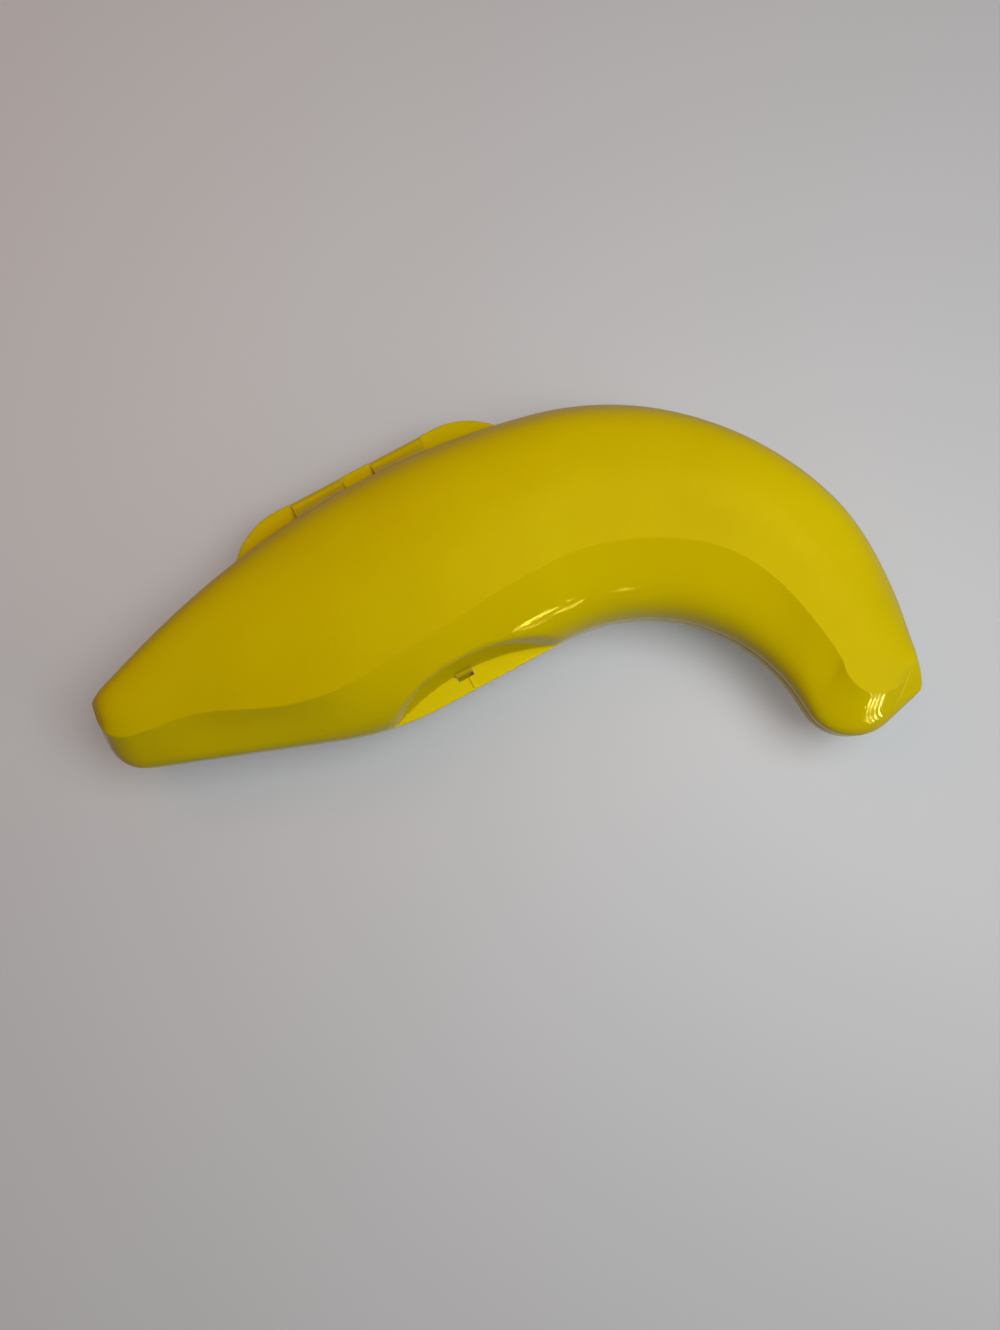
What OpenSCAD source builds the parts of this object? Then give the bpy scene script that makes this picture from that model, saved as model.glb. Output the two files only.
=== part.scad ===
/* [Plan outline] */
// Length of the straight cut across the stem end
stem_cut_l = 22.5; // [16:0.5:30]
// Direction of the stem cut, from the outer corner towards the inner edge
stem_cut_a = -65; // [-75:1:-50]
// Length of the inner edge along the stem, to the bend beside the catch
stem_edge_l = 83.7; // [65:0.1:100]
// Direction of the inner edge along the stem
stem_edge_a = 8.25; // [4:0.25:14]
// Length of the inner edge from that bend to the unrounded inner corner
grip_edge_l = 110.7; // [98:0.1:125]
// Direction of the inner edge at the catch
grip_edge_a = 28.5; // [22:0.5:34]
// Length of the inner edge from the unrounded inner corner down to the tip
leg_edge_l = 73.5; // [70:0.1:90]
// Direction of the inner edge at the tip
leg_edge_a = -58; // [-66:1:-50]
// Length of the straight cut across the tip end
tip_cut_l = 31.6; // [26:0.1:42]
// Direction of the tip cut, from the inner edge towards the outer corner
tip_cut_a = 43; // [35:1:52]
// Radius of the rounded stem corner
stem_heel_r = 12; // [5:0.5:16]
// Radius of the bend beside the catch
waist_r = 94; // [50:1:130]
// Radius of the inner curve
bay_r = 54; // [40:0.5:55]
// Radius of the rounded tip corner
tip_heel_r = 15; // [6:0.5:16]
// Radius of the outer corner at the stem
stem_corner_r = 2; // [1.5:0.1:3]
// Radius of the outer corner at the tip
tip_corner_r = 10; // [2:0.5:12]
// Radius of the long outer curve along the stem
outer_r = 250; // [220:1:300]
// Radius of the outer curve round the shoulder
shoulder_r = 93.1; // [84:0.1:102]
// Steepness of the outer curve where it reaches the tip
tip_a = 88.6; // [80:0.1:92]

/* [Section] */
// Height of each half above the parting plane
half_h = 25; // [20:0.5:32]
// Height of each half at the stem end
stem_h = 15; // [11:0.5:20]
// Height of each half at the tip end
tip_h = 15.5; // [12:0.5:20]
// Depth of the flat foot cut from the crown of the base
foot_cut = 1; // [0.5:0.1:2]
// Thickness of the moulded wall
wall = 2; // [1.8:0.1:2.6]
// Height of the upright band along each rim
band = 3.6; // [3:0.1:5]
// Drop from the crown to the crease
crease_drop = 3.4; // [2:0.1:5]
// Distance from the inner edge to the crease at the stem corner
crease_heel = 9.9; // [7:0.1:12]
// Distance from the inner edge to the crease along the stem
crease_stem = 13.2; // [10:0.1:16]
// Distance from the inner edge to the crease beside the bend of the inner edge
crease_waist = 11.5; // [9:0.1:15]
// Distance from the inner edge to the crease above the catch
crease_grip = 18.8; // [15:0.1:22]
// Distance from the inner edge to the crease in the inner curve
crease_bay = 20.8; // [17:0.1:25]
// Distance from the inner edge to the crease beside the tip
crease_leg = 13; // [10:0.1:15]
// Distance from the inner edge to the crease at the rounded tip corner
crease_knee = 14.1; // [11:0.1:16]
// Distance from the inner edge to the crease where it turns along the tip
crease_tip = 11.5; // [8:0.1:13]
// Height of the sloping tip end above the parting plane, at the tip cut
slope_z = 8.4; // [7:0.1:10]
// Steepness of the sloping tip end, in degrees
slope_a = 31.4; // [24:0.2:36]
// Turn of the sloping tip end from the tip cut, in degrees
slope_turn = 3; // [0:0.5:6]

/* [Rim] */
// Gap between the two rims when closed
rim_gap = 0.2; // [0.1:0.05:0.4]
// Thickness of the tongue round the base rim
tongue = 0.8; // [0.6:0.05:1]
// Height of the tongue
tongue_h = 1.2; // [0.8:0.1:1.8]
// Clearance between the tongue and the lid
tongue_gap = 0.3; // [0.2:0.05:0.4]

/* [Catch] */
// Radius of the arched thumb recess
scoop_r = 67.3; // [60:0.1:80]
// Depth of the recess from the inner edge
scoop_d = 6.6; // [5:0.1:9]
// Slope of the recess wall from upright, in degrees
scoop_a = 10; // [6:1:20]
// Thickness of the tab on the base
tab_t = 2.4; // [1.6:0.1:3.4]
// Width of the slot in the tab
slot_w = 5.6; // [4.5:0.1:8]
// Reach of the slot in front of the recess wall
slot_d = 2.2; // [2.1:0.1:3.4]
// Width of the locating rib on the tab
rib_w = 0.6; // [0.4:0.1:1.2]
// Place of the rib along the slot, from its middle
rib_at = -0.9; // [-2:0.1:2]
// Height of the locating rib
rib_h = 0.4; // [0.2:0.1:0.8]
// Thickness of the hook on the lid
hook_t = 0.8; // [0.7:0.1:1.2]
// Clearance round the hook in the slot
hook_gap = 0.4; // [0.3:0.05:0.6]

/* [Hinge] */
// Direction of the hinge line in plan
hinge_a = 28.5; // [24:0.25:33]
// Radius of the lid's hinge barrels
barrel_r = 2.5; // [2.3:0.1:3.2]
// Length of each gap that a barrel fills
barrel_l = 17.9; // [12:0.1:20]
// Length of the middle knuckle on the base
knuckle_l = 10.1; // [6:0.1:14]
// Radius of the hinge pins
pin_r = 1.2; // [0.9:0.05:1.3]
// Clearance round each pin
pin_gap = 0.3; // [0.2:0.05:0.4]
// Gap at each end of a barrel
end_gap = 0.3; // [0.2:0.05:0.5]
// Drop of the hinge line below the parting plane
hinge_drop = 1.5; // [1.3:0.05:1.8]
// Gap between the barrels and the body wall
wall_gap = 0.4; // [0.3:0.05:0.8]
// Thickness of the hinge flanges
flange_t = 3.2; // [2.8:0.1:3.6]
// Length of the hinge flanges before their ends are rounded
flange_l = 78.4; // [72:0.1:90]
// Radius of the flange ends
flange_r = 24; // [16:0.5:30]
// Opening of the snap mouth under each barrel
mouth_w = 2; // [1.6:0.1:2.2]

/* [Hidden] */
$fn = 48;
yellow = "#d9bd00";
yellow_dark = "#c4a800";
far = 30;

// Stations along the case and points in each part of a section
ribs = 74;
band_n = 6;
field_n = 4;
back_n = 7;
ring = band_n + field_n + back_n + 3;

// Plan vectors and simple blends
function unit(v) = v / norm(v);
function left(v) = [-v.y, v.x];
function polar(a) = [cos(a), sin(a)];
function mix(a, b, t) = a + (b - a) * t;
function angle(v) = atan2(v.y, v.x);
function wrap(a) = a - 360 * floor((a + 180) / 360);
function running(v) = [for (i = 0, t = 0; i <= len(v); t = t + (i < len(v) ? v[i] : 0), i = i + 1) t];
function turned(v) = [for (i = [len(v) - 1:-1:0]) v[i]];
function part_of(v, a, b) = [for (i = [a:b]) v[i]];

// Half-cosine blend through a list of [share, value] knots
function eased(f, k, i = 0) =
    i >= len(k) - 2 || f < k[i + 1][0]
    ? let (t = min(1, max(0, (f - k[i][0]) / (k[i + 1][0] - k[i][0]))))
        mix(k[i][1], k[i + 1][1], (1 - cos(180 * t)) / 2)
    : eased(f, k, i + 1);

// Points of an arc, and of the arc of radius r that rounds the corner q between p and s
function arc(c, r, a, turn, n) = [for (i = [0:n]) c + r * polar(a + turn * i / n)];
function half_angle(p, q, s) = acos(unit(p - q) * unit(s - q)) / 2;
function rounded(p, q, s, r, n) =
    let (h = half_angle(p, q, s), c = q + unit(unit(p - q) + unit(s - q)) * r / sin(h))
    let (a = q + unit(p - q) * r / tan(h) - c, b = q + unit(s - q) * r / tan(h) - c)
    arc(c, r, angle(a), wrap(angle(b) - angle(a)), n);

// Corners of the inner side, from the stem corner round to the tip corner
stem_corner = [0, 0];
stem_heel = stem_corner + stem_cut_l * polar(stem_cut_a);
waist = stem_heel + stem_edge_l * polar(stem_edge_a);
bay = waist + grip_edge_l * polar(grip_edge_a);
tip_heel = bay + leg_edge_l * polar(leg_edge_a);
tip_corner = tip_heel + tip_cut_l * polar(tip_cut_a);

// The outer side is two tangent arcs: one through the tip corner, one through the stem corner
shoulder_c = tip_corner + shoulder_r * [-sin(tip_a), -cos(tip_a)];
outer_span = norm(shoulder_c - stem_corner);
outer_k = (pow(outer_r, 2) - pow(outer_r - shoulder_r, 2) + pow(outer_span, 2)) / (2 * outer_span);
outer_e = unit(shoulder_c - stem_corner);
outer_c = stem_corner + outer_e * outer_k - left(outer_e) * sqrt(pow(outer_r, 2) - pow(outer_k, 2));
join_a = angle(shoulder_c - outer_c);
stem_a = angle(stem_corner - outer_c);

// The two outer corners, rounded between the end cuts and the ends of the outer side
stem_side = stem_corner + far * left(unit(outer_c - stem_corner));
tip_side = tip_corner + far * [-cos(tip_a), sin(tip_a)];
corner_n = 8;
stem_round = rounded(stem_side, stem_corner, stem_heel, stem_corner_r, corner_n);
tip_round = rounded(tip_heel, tip_corner, tip_side, tip_corner_r, corner_n);
stem_trim = stem_corner_r / tan(half_angle(stem_side, stem_corner, stem_heel));
tip_trim = tip_corner_r / tan(half_angle(tip_heel, tip_corner, tip_side));
stem_start = stem_a - stem_trim / outer_r * 180 / PI;
tip_end = 90 - tip_a + tip_trim / shoulder_r * 180 / PI;

raw_front = concat(
    part_of(stem_round, corner_n / 2, corner_n),
    rounded(stem_corner, stem_heel, waist, stem_heel_r, 12),
    rounded(stem_heel, waist, bay, waist_r, 8),
    rounded(waist, bay, tip_heel, bay_r, 22),
    rounded(bay, tip_heel, tip_corner, tip_heel_r, 16),
    part_of(tip_round, 0, corner_n / 2));
raw_back = concat(
    turned(part_of(stem_round, 0, corner_n / 2)),
    part_of(arc(outer_c, outer_r, stem_start, join_a - stem_start, 20), 1, 20),
    part_of(arc(shoulder_c, shoulder_r, join_a, tip_end - join_a, 28), 1, 28),
    turned(part_of(tip_round, corner_n / 2, corner_n - 1)));

// The outline moves so that its bounding box is centred on the origin
all_x = [for (p = concat(raw_front, raw_back)) p.x];
all_y = [for (p = concat(raw_front, raw_back)) p.y];
middle = [max(all_x) + min(all_x), max(all_y) + min(all_y)] / 2;
front = [for (p = raw_front) p - middle];
back = [for (p = raw_back) p - middle];

// Distance along each side, and along the front a count that is denser on bends
rib_pitch = 4;
rib_turn = 20;
function lengths(path) = running([for (i = [1:len(path) - 1]) norm(path[i] - path[i - 1])]);
function bend(path, i) =
    i >= len(path) - 1 ? 0
    : abs(wrap(angle(path[i + 1] - path[i]) - angle(path[i] - path[i - 1])));
front_s = lengths(front);
back_s = lengths(back);
front_m = running([for (i = [1:len(front) - 1])
    norm(front[i] - front[i - 1]) / rib_pitch + bend(front, i) / rib_turn]);
front_len = front_s[len(front) - 1];
back_len = back_s[len(back) - 1];
front_at = [for (i = [0:len(front) - 1]) [front_m[i], front[i].x, front[i].y, front_s[i]]];
back_at = [for (i = [0:len(back) - 1]) [back_s[i], back[i].x, back[i].y]];
function column(t, c) = [for (r = t) [r[0], r[c]]];
front_tx = column(front_at, 1);
front_ty = column(front_at, 2);
front_ts = column(front_at, 3);
front_tm = [for (r = front_at) [r[3], r[0]]];
back_tx = column(back_at, 1);
back_ty = column(back_at, 2);

function front_p(m) = [lookup(m, front_tx), lookup(m, front_ty)];
function back_p(s) = [lookup(s, back_tx), lookup(s, back_ty)];
function front_n(m) = left(unit(front_p(m + 0.2) - front_p(m - 0.2)));
function back_in(s) = -left(unit(back_p(s + 0.8) - back_p(s - 0.8)));

// Each front station faces a back station, so that the section between them runs square to the body
function share(m) = lookup(m, front_ts) / front_len;
function facing(f) = f - 0.79 * f * (1 - f) * (0.83 - f);
end_trim = 0.6;
end_wall = 4 * wall;
function station(j, inset) =
    let (e = end_trim + end_wall * inset / wall)
    mix(lookup(e, front_tm), lookup(front_len - e, front_tm), j / (ribs - 1));

// Height, crease and tilt of the inner wall along the case
function ending(f) = eased(f, [[0, 0], [0.8, 0], [0.93, 1], [1, 1]]);
function closing(w, f) =
    let (t = min(1, w / 36), u = min(1, w / 75))
    mix(1 - (1 - t) * (1 - t), mix(0.5, 1, 1.5 * u - 0.5 * pow(u, 3)), ending(f));
function crown(f) = eased(f, [[0, stem_h], [0.06, stem_h], [0.54, half_h], [0.68, half_h],
    [0.95, tip_h], [1, tip_h]]);
function crease(f) = eased(f, [[0, 0.5], [0.045, 2.6], [0.1, crease_heel], [0.18, crease_stem],
    [0.265, crease_waist], [0.42, crease_grip], [0.53, crease_bay], [0.69, crease_bay],
    [0.86, crease_leg], [0.888, crease_knee], [0.925, crease_tip], [0.97, 4.5], [1, 3.3]]);
function tilt(f) = eased(f, [[0, 0.2], [0.08, 0.2], [0.16, 0.08], [1, 0.08]]);

// The tip end is bevelled by a flat slope that rises from the tip cut
function slope_at(p, inset) =
    let (away = (p + middle - tip_heel) * left(polar(tip_cut_a + slope_turn)))
    slope_z + away * tan(slope_a) - inset / cos(slope_a);

// Thumb recess: a cone opening upwards, its centre square to the inner edge opposite the hinge
waist_in = waist - middle;
grip_dir = polar(grip_edge_a);
hinge_foot = outer_c - middle + outer_r * polar(90 + hinge_a);
catch_along = (hinge_foot - waist_in) * grip_dir;
scoop_c = waist_in + grip_dir * catch_along + left(grip_dir) * (scoop_d - scoop_r);
function scoop_at(z, inset) = scoop_r + inset + max(0, z - band + 1) * tan(scoop_a);
function scoop_soft(z) = 1 + 0.1 * max(0, z - band);
function push(g, k) = g <= -k ? 0 : g >= k ? g : pow(g + k, 2) / (4 * k);
function scooped(p, z, inset) =
    let (v = p - scoop_c, r = norm(v))
    p + v / r * push(scoop_at(z, inset) - r, scoop_soft(z));

// Section: upright band, rounded inner wall up to the crease, crowned field, drafted back wall
function bezier(a, b, c, d, t) =
    a * pow(1 - t, 3) + b * 3 * t * pow(1 - t, 2) + c * 3 * t * t * (1 - t) + d * pow(t, 3);
function section(w, a, b, h, zc, lean, draft) =
    let (top = mix(a, w, 0.45), up = zc - b, run = top - a, fall = h - b)
    concat(
        [for (i = [0:band_n]) bezier([0, b], [min(lean * up, 0.2 * a), b + 0.62 * up],
            [0.42 * a, zc - 0.26 * up], [a, zc], i / band_n)],
        [for (i = [1:field_n]) bezier([a, zc], [a + 0.35 * run, mix(zc, h, 0.3)],
            [top - 0.4 * run, h], [top, h], i / field_n)],
        [for (i = [1:back_n]) bezier([top, h], [mix(top, w, 0.55), h],
            [w - min(draft * fall, 0.3 * w), b + 0.5 * fall], [w, b], i / back_n)]);

// One ring of points across the case at station j, inset by the wall for the inside
function ring_points(j, inset, rim_z, flat_h) =
    let (m = station(j, inset), f = share(m), s = facing(f) * back_len)
    let (p = front_p(m) + front_n(m) * inset, q = back_p(s) + back_in(s) * inset)
    let (w = norm(q - p), e = (q - p) / w)
    let (h = mix(band, crown(f), closing(w, f)) - inset, b = min(band, h - 0.5))
    let (a = min(crease(f) / max(0.5, e * front_n(m)), 0.5 * w))
    let (slim = ending(f) * (1 - min(1, w / 45)))
    let (zc = mix(b, h, 1 - crease_drop / (half_h - band)))
    let (sec = section(w, a, b, h, zc, tilt(f), mix(0.16, 0.4, slim)))
    concat(
        [lifted(p, rim_z, inset, flat_h)],
        [for (d = sec) lifted(p + e * d[0], d[1], inset, flat_h)],
        [lifted(q, rim_z, inset, flat_h)]);
function lifted(p, z, inset, flat_h) =
    let (low = z - push(z - slope_at(p, inset), 0.5), g = scooped(p, max(low, 0), inset))
    [g.x, g.y, min(low, flat_h - inset)];

// One ring of points round the rim, front then back, at a given inset and height
function rim_loop(inset, z, recess) =
    let (m = [for (j = [0:ribs - 1]) station(j, inset)])
    let (a = [for (v = m) front_p(v) + front_n(v) * inset])
    let (b = [for (v = m) let (s = facing(share(v)) * back_len) back_p(s) + back_in(s) * inset])
    [for (p = concat(a, turned(b))) let (g = recess ? scooped(p, 0, inset) : p) [g.x, g.y, z]];
function flat(loop) = [for (p = loop) [p.x, p.y]];
full_loop = flat(rim_loop(0, 0, false));
rim_plan = flat(rim_loop(0, 0, true));

// A half shell: outer skin, inner skin, the stepped rim between them and the end faces
module shell(rim_z, step, inner_z, flat_h) {
    outer = [for (j = [0:ribs - 1]) each ring_points(j, 0, rim_z, 2 * far)];
    inner = [for (j = [0:ribs - 1]) each ring_points(j, wall, inner_z, flat_h)];
    loop_n = 2 * ribs;
    step_low = len(outer);
    step_high = step_low + loop_n;
    in_0 = step_high + loop_n;
    points = concat(outer, rim_loop(step, rim_z, true), rim_loop(step, inner_z, true), inner);
    edge_out = concat([for (j = [0:ribs - 1]) j * ring], [for (j = [ribs - 1:-1:0]) j * ring + ring - 1]);
    low = [for (i = [0:loop_n - 1]) step_low + i];
    high = [for (i = [0:loop_n - 1]) step_high + i];
    edge_in = [for (i = edge_out) in_0 + i];
    last = (ribs - 1) * ring;
    quads = [for (j = [0:ribs - 2], k = [0:ring - 2])
        [j * ring + k, j * ring + k + 1, (j + 1) * ring + k + 1, (j + 1) * ring + k]];
    bands = [for (pair = [[edge_out, low], [low, high], [high, edge_in]], i = [0:loop_n - 1])
        let (n = (i + 1) % loop_n) [pair[0][i], pair[0][n], pair[1][n], pair[1][i]]];
    ends = [
        [for (k = [ring - 1:-1:0]) k],
        [for (k = [0:ring - 1]) last + k],
        [for (k = [0:ring - 1]) in_0 + k],
        [for (k = [ring - 1:-1:0]) in_0 + last + k]];
    split = [for (q = concat(quads, [for (q = quads) in_0 * [1, 1, 1, 1] + turned(q)], bands))
        each [[q[0], q[1], q[2]], [q[0], q[2], q[3]]]];
    polyhedron(points, concat(split, ends), convexity = 8);
}

// Frames: the parting plane, the hinge line and the catch
seat_z = half_h - foot_cut;
axis_out = barrel_r + wall_gap;
hinge_p = hinge_foot + axis_out * polar(90 + hinge_a);
catch_a = grip_edge_a + 90;
module at_seat() {
    translate([0, 0, seat_z]) children();
}
module at_hinge() {
    translate([hinge_p.x, hinge_p.y, seat_z - hinge_drop]) rotate([0, 0, hinge_a]) children();
}
module at_catch() {
    translate([scoop_c.x, scoop_c.y, seat_z]) rotate([0, 0, catch_a]) children();
}
// The plan of the rim, which trims what stands against the body
module rim_trim(low, high) {
    translate([0, 0, seat_z + low]) linear_extrude(high - low) polygon(rim_plan);
}
// A round bar along the hinge line, between two places on it
module axis_bar(r, from, to) {
    translate([from, 0, 0]) rotate([0, 90, 0]) cylinder(r = r, h = to - from);
}

knuckle_end = knuckle_l / 2;
barrel_end = knuckle_end + barrel_l;
flange_drop = 20;
flange_half = flange_l / 2;
flange_plan = concat(
    [[-flange_half - flange_drop * 0.84, barrel_r - flange_drop]],
    rounded([-flange_half - flange_drop * 0.84, barrel_r - flange_drop],
        [-flange_half, barrel_r], [flange_half, barrel_r], flange_r, 9),
    rounded([-flange_half, barrel_r], [flange_half, barrel_r],
        [flange_half + flange_drop * 0.84, barrel_r - flange_drop], flange_r, 9),
    [[flange_half + flange_drop * 0.84, barrel_r - flange_drop]]);

// Part of the hinge flange, between two places along the hinge line
module flange(from, to) {
    difference() {
        at_hinge()
            translate([0, 0, hinge_drop - flange_t])
            linear_extrude(flange_t)
            intersection() {
                polygon(flange_plan);
                translate([from, -far]) square([to - from, 2 * far]);
            }
        rim_trim(-flange_t - 1, 1);
    }
}

// Barrel: a tube open underneath, which clips over its pin, carried by a neck from the lid rim
neck_back = axis_out + 5;
neck_low = hinge_drop + rim_gap;
neck_high = hinge_drop + band - 0.4;
module barrel(from) {
    low = from + end_gap;
    high = from + barrel_l - end_gap;
    difference() {
        at_hinge() union() {
            axis_bar(barrel_r, low, high);
            translate([low, 0, 0]) rotate([90, 0, 90]) linear_extrude(high - low)
                polygon([[0, 0], [0, barrel_r], [-0.3 * barrel_r, barrel_r], [-axis_out, neck_high],
                    [-neck_back, neck_high], [-neck_back, neck_low], [-0.6 * barrel_r, neck_low]]);
        }
        at_hinge() axis_bar(pin_r + pin_gap, low - 1, high + 1);
        at_hinge() translate([low - 1, -mouth_w / 2, -barrel_r - 1])
            cube([high - low + 2, mouth_w, barrel_r + 1]);
        rim_trim(0, band + 1);
    }
}
module pin(from) {
    at_hinge() axis_bar(pin_r, from, from + barrel_l);
}

// The crown of the base is cut flat at the floor
module base_shell() {
    color(yellow_dark) difference() {
        at_seat() mirror([0, 0, 1]) shell(0, wall - tongue, -tongue_h, half_h - foot_cut);
        translate([-300, -200, -far]) cube([600, 400, far]);
    }
}
module lid_shell() {
    color(yellow) at_seat()
        shell(rim_gap, wall - tongue - tongue_gap, rim_gap + tongue_h + tongue_gap, far * 2);
}
module hinge_flange_left() {
    color(yellow_dark) flange(-2 * far, -barrel_end);
}
module hinge_knuckle_middle() {
    color(yellow_dark) flange(-knuckle_end, knuckle_end);
}
module hinge_flange_right() {
    color(yellow_dark) flange(barrel_end, 2 * far);
}
module hinge_pin_left() {
    color(yellow_dark) pin(-barrel_end);
}
module hinge_pin_right() {
    color(yellow_dark) pin(knuckle_end);
}
module hinge_barrel_left() {
    color(yellow) barrel(-barrel_end);
}
module hinge_barrel_right() {
    color(yellow) barrel(knuckle_end);
}

// Tab: the plate between the unrecessed outline and the recessed rim, with a slot and a rib
catch_ids = [for (j = [0:ribs - 1]) if (norm(full_loop[j] - rim_plan[j]) > 0.001) j];
catch_first = catch_ids[0] - 1;
catch_last = catch_ids[len(catch_ids) - 1] + 1;
module catch_tab() {
    color(yellow) {
        difference() {
            translate([0, 0, seat_z - tab_t]) linear_extrude(tab_t) polygon(concat(
                part_of(full_loop, catch_first, catch_last),
                [for (j = [catch_last - 1:-1:catch_first + 1]) rim_plan[j]]));
            at_catch() translate([scoop_r - slot_d, -slot_w / 2, -tab_t - 1])
                cube([slot_d + 1, slot_w, tab_t + 2]);
        }
        at_catch() translate([scoop_r - scoop_d + 0.4, rib_at - rib_w / 2, 0])
            cube([scoop_d - slot_d - 0.8, rib_w, rib_h]);
    }
}
// Hook: hangs from the recess wall of the lid through the slot
hook_w = slot_w - 2 * hook_gap;
hook_x = scoop_r - hook_gap - hook_t;
hook_end = -tab_t - 1.8;
module catch_hook() {
    color(yellow) difference() {
        at_catch() translate([0, hook_w / 2, 0]) rotate([90, 0, 0]) linear_extrude(hook_w)
            polygon([[scoop_r + 1, rim_gap], [scoop_r + 1, band - 1],
                [scoop_r, band - 1], [hook_x, rim_gap + 0.3],
                [hook_x, -tab_t - 0.4], [hook_x - 0.6, -tab_t - 0.9], [hook_x, hook_end],
                [scoop_r - hook_gap, hook_end], [scoop_r - hook_gap, rim_gap]]);
        rim_trim(0, band);
    }
}

base_shell();
hinge_flange_left();
hinge_knuckle_middle();
hinge_flange_right();
hinge_pin_left();
hinge_pin_right();
catch_tab();
lid_shell();
hinge_barrel_left();
hinge_barrel_right();
catch_hook();
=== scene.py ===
# %% [markdown]
# # A moulded carrying case for one banana
# The case is two thin half shells of yellow polypropylene, closed along a flat
# parting plane. The lid turns on barrels that clip over pins on the base, and a
# hook on the lid passes a slot in the base's thumb tab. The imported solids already
# hold the right places, so every piece here is worked out in the same frame.

# %% Load the frame
import math
import bpy
import numpy as np
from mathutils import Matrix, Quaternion, Vector


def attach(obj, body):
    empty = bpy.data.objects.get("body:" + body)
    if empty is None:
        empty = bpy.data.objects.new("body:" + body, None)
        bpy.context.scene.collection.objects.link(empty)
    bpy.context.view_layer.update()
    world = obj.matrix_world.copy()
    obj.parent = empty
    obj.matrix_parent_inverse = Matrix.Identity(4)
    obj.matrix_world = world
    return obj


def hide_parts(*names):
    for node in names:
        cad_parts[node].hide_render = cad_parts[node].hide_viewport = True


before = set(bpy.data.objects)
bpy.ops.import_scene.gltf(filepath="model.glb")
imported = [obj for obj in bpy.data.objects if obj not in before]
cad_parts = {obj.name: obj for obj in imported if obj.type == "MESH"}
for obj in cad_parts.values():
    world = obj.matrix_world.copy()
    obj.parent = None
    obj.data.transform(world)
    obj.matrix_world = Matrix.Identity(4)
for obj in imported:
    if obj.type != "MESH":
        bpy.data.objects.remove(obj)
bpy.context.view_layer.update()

MM = 0.001

# %% [markdown]
# ## The plan outline
# Seen from above, the case is a banana: a short straight cut at the stem, a long
# inner edge with four rounded bends, a short cut at the tip and an outer side of
# two tangent arcs. A traced spline would hide these sizes, so the outline is
# written the way a toolmaker dimensions it, as lengths, headings and radii.

# %% Corners, bends and arcs
SEAT = 24.0  # height of the parting plane above the floor
STEM_CUT, GRIP_EDGE, BAY_EDGE, LEG_EDGE, TIP_CUT = 22.5, 83.7, 110.7, 73.5, 31.6
STEM_A, GRIP_A, BAY_A, LEG_A, TIP_CUT_A = -65, 8.25, 28.5, -58, 43
STEM_R, HEEL_R, WAIST_R, BAY_R, TIP_HEEL_R, TIP_R = 2, 12, 94, 54, 15, 10
OUTER_R, SHOULDER_R, TIP_A = 250.0, 93.1, 88.6


def unit(v):
    """A vector divided by its length."""
    return v / np.linalg.norm(v, axis=-1, keepdims=True)


def left(v):
    """A plan vector turned a quarter turn to the left: (x, y) becomes (-y, x)."""
    return np.stack([-v[..., 1], v[..., 0]], -1)


def polar(degrees):
    """The plan direction at an angle: (cos, sin)."""
    a = np.radians(degrees)
    return np.stack([np.cos(a), np.sin(a)], -1)


def bearing(v):
    """The angle of a plan vector in degrees."""
    return np.degrees(np.arctan2(v[1], v[0]))


def rounded(p, q, s, radius, n=64):
    """The arc that rounds corner q between p and s. Its centre lies on the bisector at
    radius / sin(half the angle), and it meets each leg at radius / tan(half the angle)."""
    u, v = unit(p - q), unit(s - q)
    half = np.arccos(u @ v) / 2
    centre = q + unit(u + v) * radius / np.sin(half)
    first = bearing(q + u * radius / np.tan(half) - centre)
    turn = (bearing(q + v * radius / np.tan(half) - centre) - first + 180) % 360 - 180
    return centre + radius * polar(first + turn * np.linspace(0, 1, n))


stem_corner = np.zeros(2)
stem_heel = stem_corner + STEM_CUT * polar(STEM_A)
waist = stem_heel + GRIP_EDGE * polar(GRIP_A)
bay = waist + BAY_EDGE * polar(BAY_A)
tip_heel = bay + LEG_EDGE * polar(LEG_A)
tip_corner = tip_heel + TIP_CUT * polar(TIP_CUT_A)

# The two outer arcs touch where their centres and the join lie on one line.
shoulder_c = tip_corner - SHOULDER_R * polar(90 - TIP_A)
span = np.linalg.norm(shoulder_c - stem_corner)
foot = (OUTER_R ** 2 - (OUTER_R - SHOULDER_R) ** 2 + span ** 2) / (2 * span)
run = unit(shoulder_c - stem_corner)
outer_c = stem_corner + run * foot - left(run) * np.sqrt(OUTER_R ** 2 - foot ** 2)
join_a = bearing(shoulder_c - outer_c)
stem_side = stem_corner + 30 * left(unit(outer_c - stem_corner))
tip_side = tip_corner + 30 * np.array([-1, 1]) * polar(TIP_A)
stem_round = rounded(stem_side, stem_corner, stem_heel, STEM_R, 41)
tip_round = rounded(tip_heel, tip_corner, tip_side, TIP_R, 41)
print("inner corner", bay.round(1), "outer arc centre", outer_c.round(1))

# %% [markdown]
# ## The two sides as measured curves
# Every section of the shell spans from the inner side (the front) to the outer
# side (the back). Each side is resampled every fifth of a millimetre, so that a
# place and an inward normal can be read at any distance along it with np.interp.

# %% Front and back
STEP = 0.2


def measured(points, inward):
    """Distance, place and inward unit normal along a polyline, one every STEP."""
    step = np.linalg.norm(np.diff(points, axis=0), axis=1)
    s = np.concatenate([[0], np.cumsum(step)])
    even = np.linspace(0, s[-1], int(s[-1] / STEP) + 1)
    place = np.stack([np.interp(even, s, points[:, i]) for i in (0, 1)], -1)
    return even, place, inward * left(unit(np.gradient(place, even, axis=0)))


def at(side, s):
    """Place and inward normal at distances s along a measured side."""
    even, place, normal = side
    read = [np.stack([np.interp(s, even, v[:, i]) for i in (0, 1)], -1)
            for v in (place, normal)]
    return read[0], unit(read[1])


def outer_arc(centre, radius, first, last, n):
    """Points of a circle arc between two angles."""
    return centre + radius * polar(np.linspace(first, last, n))


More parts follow.
